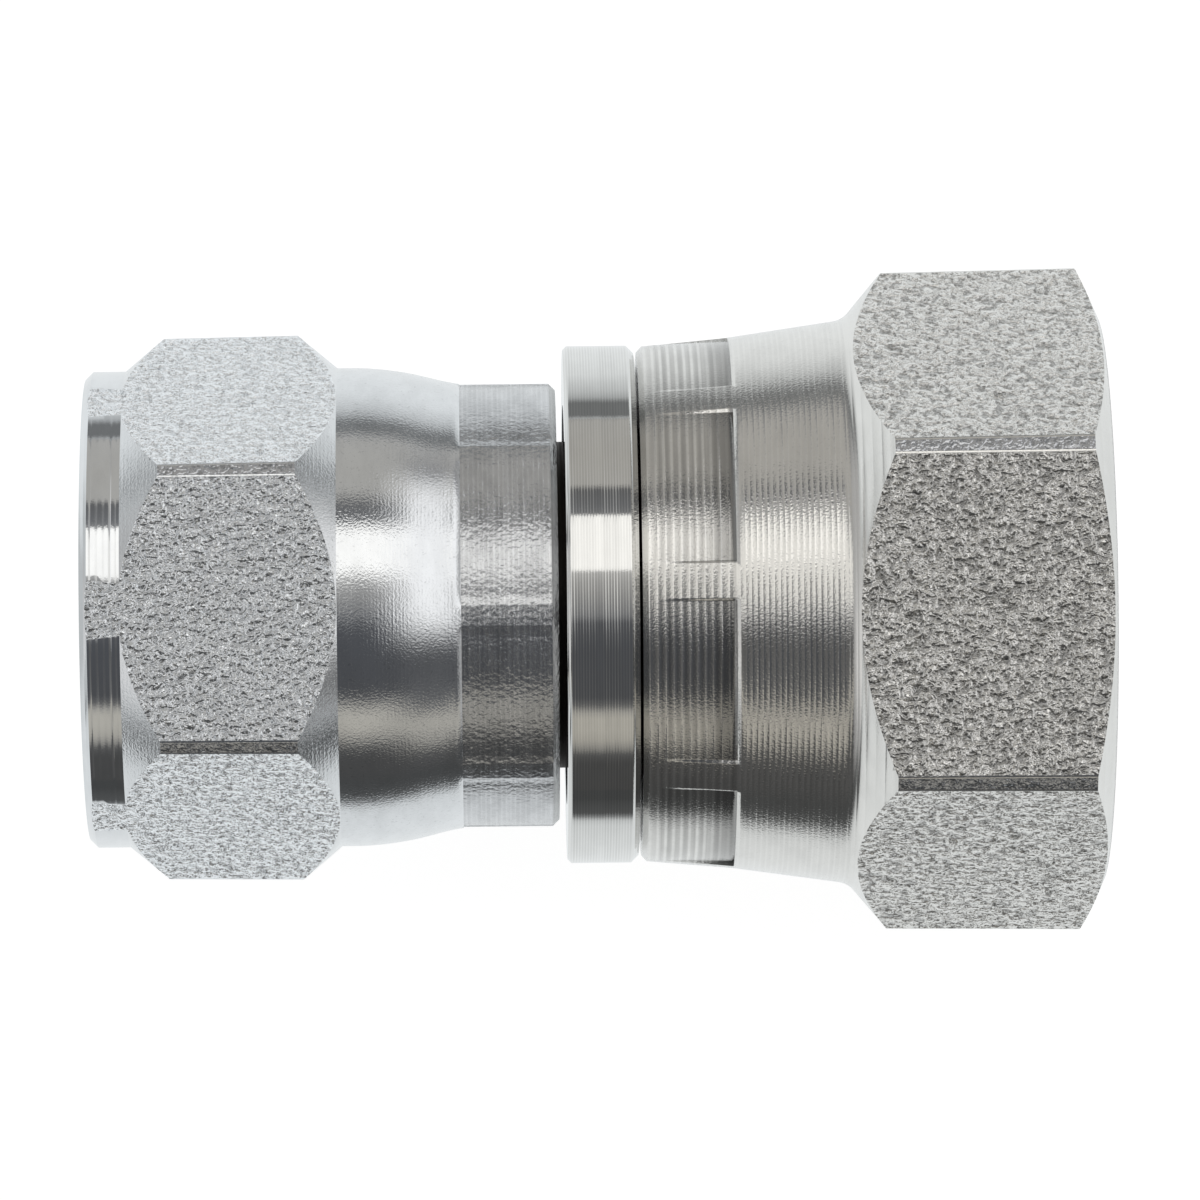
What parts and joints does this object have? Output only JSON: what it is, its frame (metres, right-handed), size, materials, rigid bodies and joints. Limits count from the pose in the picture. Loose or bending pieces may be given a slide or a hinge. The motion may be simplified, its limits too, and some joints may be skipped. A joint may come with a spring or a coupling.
{
  "type": "hydraulic swivel adapter",
  "caption": "Straight steel hydraulic adapter: a turned through-bored body with a collar, and a crimped hexagon swivel nut at each end, one smaller than the other.",
  "frame": {"origin": "on the flow axis, in the middle of the body's collar", "axes": "+X along the flow axis from the small nut to the large nut, +Z square to one flat of the small nut, +Y across"},
  "size_m": [0.047, 0.031, 0.0278],
  "materials": {
    "turned_zinc": "bright zinc plate over fine turned rings",
    "small_nut_zinc": "bright zinc plate, turned skirt and nose, rough forged flats",
    "large_nut_zinc": "bright zinc plate, coarse turned rings on the skirt, rough forged flats"
  },
  "bodies": {
    "body": {"adapter_body": "turned_zinc"},
    "small_nut": {"small_swivel_nut": "small_nut_zinc"},
    "large_nut": {"large_swivel_nut": "large_nut_zinc"}
  },
  "joints": [
    {"name": "small_nut_spin", "type": "hinge", "parent": "body", "child": "small_nut", "pos_m": [0, 0, 0], "axis": [1, 0, 0], "continuous": true},
    {"name": "large_nut_spin", "type": "hinge", "parent": "body", "child": "large_nut", "pos_m": [0, 0, 0], "axis": [1, 0, 0], "continuous": true}
  ]
}
